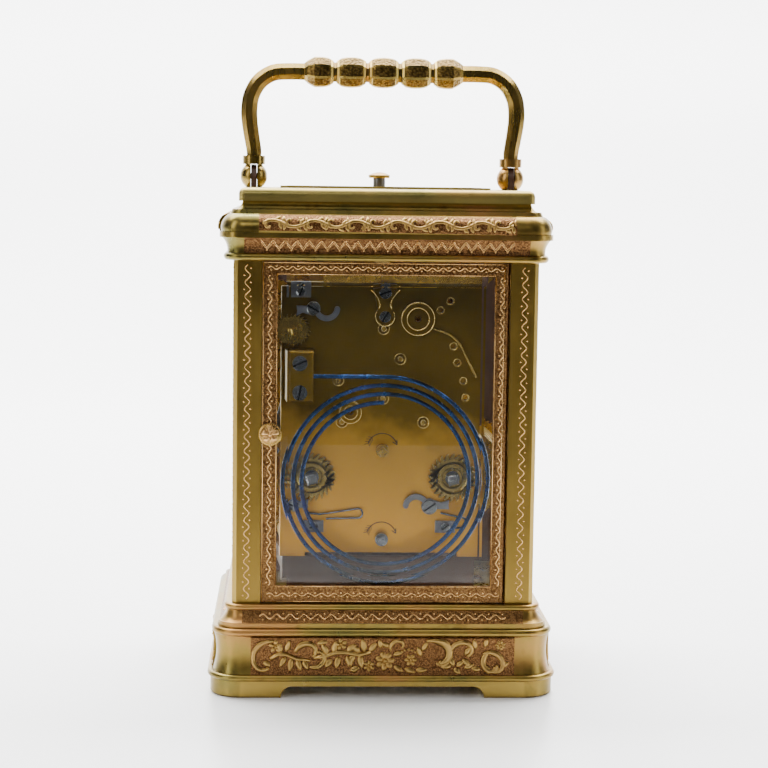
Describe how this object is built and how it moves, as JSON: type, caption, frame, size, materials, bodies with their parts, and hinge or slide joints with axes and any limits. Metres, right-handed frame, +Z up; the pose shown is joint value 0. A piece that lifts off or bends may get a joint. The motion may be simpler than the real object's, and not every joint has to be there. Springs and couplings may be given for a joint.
{
  "type": "carriage clock",
  "caption": "Glazed brass carriage clock: bevelled panes, engraved mouldings, folding handle, repeat button and a hinged rear door over a striking alarm movement.",
  "frame": {"origin": "middle of the underside of the feet", "axes": "+Z up, -Y towards the rear door with the winding squares, +Y towards the dial, +X to the right as seen from the rear door"},
  "size_m": [0.0998, 0.0878, 0.1821],
  "materials": {
    "case_brass": "aged gilt brass with matted and engraved bands",
    "glass": "polished and bevelled",
    "steel": "straight-grained",
    "blued_steel": "blued and polished",
    "movement_brass": "gilt and frosted",
    "spring_steel": "polished spring steel",
    "dark_metal": "dark bronzed",
    "enamel": "glazed"
  },
  "bodies": {
    "case": {"base_moulding": "case_brass", "bottom_plate": "case_brass", "case_screws": "steel", "pillar_front_left": "case_brass", "pillar_front_right": "case_brass", "pillar_rear_left": "case_brass", "pillar_rear_right": "case_brass", "top_moulding": "case_brass", "top_glass": "glass", "front_glass": "glass", "side_glass_left": "glass", "side_glass_right": "glass", "handle_posts": "case_brass", "movement_seat": "dark_metal", "back_plate": "movement_brass", "front_plate": "movement_brass", "plate_pillars": "movement_brass", "platform": "movement_brass", "gong": "blued_steel", "gong_block": "movement_brass", "back_cock": "movement_brass", "rear_bushes": "movement_brass", "rear_screws": "steel", "steel_stops": "steel", "plate_springs": "steel", "mainsprings": "spring_steel", "platform_cocks": "movement_brass", "dial": "enamel"},
    "door": {"door_frame": "case_brass", "door_glass": "glass", "door_knob": "case_brass", "door_pivots": "steel"},
    "handle": {"handle": "case_brass"},
    "repeat_button": {"repeat_button": "case_brass"},
    "time_arbor": {"time_arbor": "steel", "time_ratchet": "movement_brass"},
    "strike_arbor": {"strike_arbor": "steel", "strike_ratchet": "movement_brass"},
    "alarm_arbor": {"alarm_arbor": "steel"},
    "time_click": {"time_click": "steel"},
    "strike_click": {"strike_click": "steel"},
    "alarm_click": {"alarm_click": "steel"},
    "time_barrel": {"time_barrel": "movement_brass"},
    "strike_barrel": {"strike_barrel": "movement_brass"},
    "alarm_barrel": {"alarm_barrel": "movement_brass"},
    "second_wheel": {"second_wheel": "movement_brass"},
    "centre_wheel": {"centre_wheel": "movement_brass", "minute_hand": "blued_steel"},
    "third_wheel": {"third_wheel": "movement_brass"},
    "contrate_wheel": {"contrate_wheel": "movement_brass"},
    "escape_wheel": {"escape_wheel": "movement_brass"},
    "lever": {"lever": "steel"},
    "balance": {"balance": "movement_brass"},
    "minute_wheel": {"minute_wheel": "movement_brass"},
    "hour_wheel": {"hour_wheel": "movement_brass", "hour_hand": "blued_steel"},
    "alarm_setting": {"alarm_setting_arbor": "movement_brass"},
    "strike_wheel": {"strike_wheel": "movement_brass"},
    "fly": {"fly": "movement_brass"},
    "hammer": {"hammer": "steel"}
  },
  "joints": [
    {"name": "door_hinge", "type": "hinge", "parent": "case", "child": "door", "pos_m": [0.0333, -0.0355, 0.07475], "axis": [0, 0, 1], "range_deg": [0, 95]},
    {"name": "handle_pivot", "type": "hinge", "parent": "case", "child": "handle", "pos_m": [0, 0, 0.147], "axis": [1, 0, 0], "range_deg": [-85, 85]},
    {"name": "repeat_slide", "type": "slide", "parent": "case", "child": "repeat_button", "axis": [0, 0, -1], "range_m": [0, 0.0025], "stiffness_N_per_m": 150, "springref_m": -0.003},
    {"name": "time_winding", "type": "hinge", "parent": "case", "child": "time_arbor", "pos_m": [0.0205, 0, 0.0602], "axis": [0, -1, 0], "continuous": true},
    {"name": "strike_winding", "type": "hinge", "parent": "case", "child": "strike_arbor", "pos_m": [-0.0205, 0, 0.0602], "axis": [0, -1, 0], "continuous": true},
    {"name": "alarm_winding", "type": "hinge", "parent": "case", "child": "alarm_arbor", "pos_m": [-0.0258, 0, 0.1029], "axis": [0, -1, 0], "continuous": true},
    {"name": "time_barrel_spin", "type": "hinge", "parent": "case", "child": "time_barrel", "pos_m": [0.0205, 0, 0.0602], "axis": [0, -1, 0], "continuous": true},
    {"name": "strike_barrel_spin", "type": "hinge", "parent": "case", "child": "strike_barrel", "pos_m": [-0.0205, 0, 0.0602], "axis": [0, -1, 0], "continuous": true},
    {"name": "alarm_barrel_spin", "type": "hinge", "parent": "case", "child": "alarm_barrel", "pos_m": [-0.0258, 0, 0.1029], "axis": [0, -1, 0], "continuous": true},
    {"name": "second_wheel_spin", "type": "hinge", "parent": "case", "child": "second_wheel", "pos_m": [0.01184, 0, 0.07626], "axis": [0, -1, 0], "continuous": true},
    {"name": "centre_wheel_spin", "type": "hinge", "parent": "case", "child": "centre_wheel", "pos_m": [0, 0, 0.0831], "axis": [0, -1, 0], "continuous": true},
    {"name": "third_wheel_spin", "type": "hinge", "parent": "case", "child": "third_wheel", "pos_m": [0.00492, 0, 0.0947], "axis": [0, -1, 0], "continuous": true},
    {"name": "contrate_wheel_spin", "type": "hinge", "parent": "case", "child": "contrate_wheel", "pos_m": [0, 0, 0.1035], "axis": [0, -1, 0], "continuous": true},
    {"name": "escape_wheel_spin", "type": "hinge", "parent": "case", "child": "escape_wheel", "pos_m": [0, -0.00936, 0.12], "axis": [0, 0, 1], "continuous": true},
    {"name": "lever_swing", "type": "hinge", "parent": "case", "child": "lever", "pos_m": [0, -0.00276, 0.12], "axis": [0, 0, 1], "range_deg": [-6, 6]},
    {"name": "balance_swing", "type": "hinge", "parent": "case", "child": "balance", "pos_m": [0, 0.00464, 0.1225], "axis": [0, 0, 1], "range_deg": [-225, 225], "stiffness_Nm_per_rad": 0.0000001},
    {"name": "minute_wheel_spin", "type": "hinge", "parent": "case", "child": "minute_wheel", "pos_m": [0, 0, 0.0682], "axis": [0, -1, 0], "continuous": true},
    {"name": "hour_wheel_spin", "type": "hinge", "parent": "case", "child": "hour_wheel", "pos_m": [0, 0, 0.0831], "axis": [0, -1, 0], "continuous": true},
    {"name": "alarm_setting_spin", "type": "hinge", "parent": "case", "child": "alarm_setting", "pos_m": [0, 0, 0.0421], "axis": [0, -1, 0], "continuous": true},
    {"name": "strike_wheel_spin", "type": "hinge", "parent": "case", "child": "strike_wheel", "pos_m": [-0.01184, 0, 0.07626], "axis": [0, -1, 0], "continuous": true},
    {"name": "fly_spin", "type": "hinge", "parent": "case", "child": "fly", "pos_m": [-0.01304, 0, 0.08844], "axis": [0, -1, 0], "continuous": true},
    {"name": "hammer_swing", "type": "hinge", "parent": "case", "child": "hammer", "pos_m": [-0.026, 0, 0.0841], "axis": [0, 1, 0], "range_deg": [0, 9], "stiffness_Nm_per_rad": 0.0005, "springref_deg": -34.38},
    {"name": "time_click_swing", "type": "hinge", "parent": "case", "child": "time_click", "pos_m": [0.0139, 0, 0.0517], "axis": [0, 1, 0], "range_deg": [0, 12], "stiffness_Nm_per_rad": 0.001, "springref_deg": -11.46},
    {"name": "strike_click_swing", "type": "hinge", "parent": "case", "child": "strike_click", "pos_m": [-0.0256, 0, 0.0519], "axis": [0, 1, 0], "range_deg": [0, 12], "stiffness_Nm_per_rad": 0.001, "springref_deg": -11.46},
    {"name": "alarm_click_swing", "type": "hinge", "parent": "case", "child": "alarm_click", "pos_m": [-0.0204, 0, 0.1093], "axis": [0, 1, 0], "range_deg": [0, 12], "stiffness_Nm_per_rad": 0.001, "springref_deg": -11.46}
  ],
  "couplings": [
    {"joint": "second_wheel_spin", "follows": "centre_wheel_spin", "ratio": -0.1875},
    {"joint": "time_barrel_spin", "follows": "centre_wheel_spin", "ratio": 0.026786},
    {"joint": "third_wheel_spin", "follows": "centre_wheel_spin", "ratio": -6},
    {"joint": "contrate_wheel_spin", "follows": "centre_wheel_spin", "ratio": 30},
    {"joint": "escape_wheel_spin", "follows": "centre_wheel_spin", "ratio": 222},
    {"joint": "minute_wheel_spin", "follows": "centre_wheel_spin", "ratio": -0.33333},
    {"joint": "hour_wheel_spin", "follows": "centre_wheel_spin", "ratio": 0.083333},
    {"joint": "strike_wheel_spin", "follows": "strike_barrel_spin", "ratio": -7},
    {"joint": "fly_spin", "follows": "strike_barrel_spin", "ratio": 32.667}
  ]
}
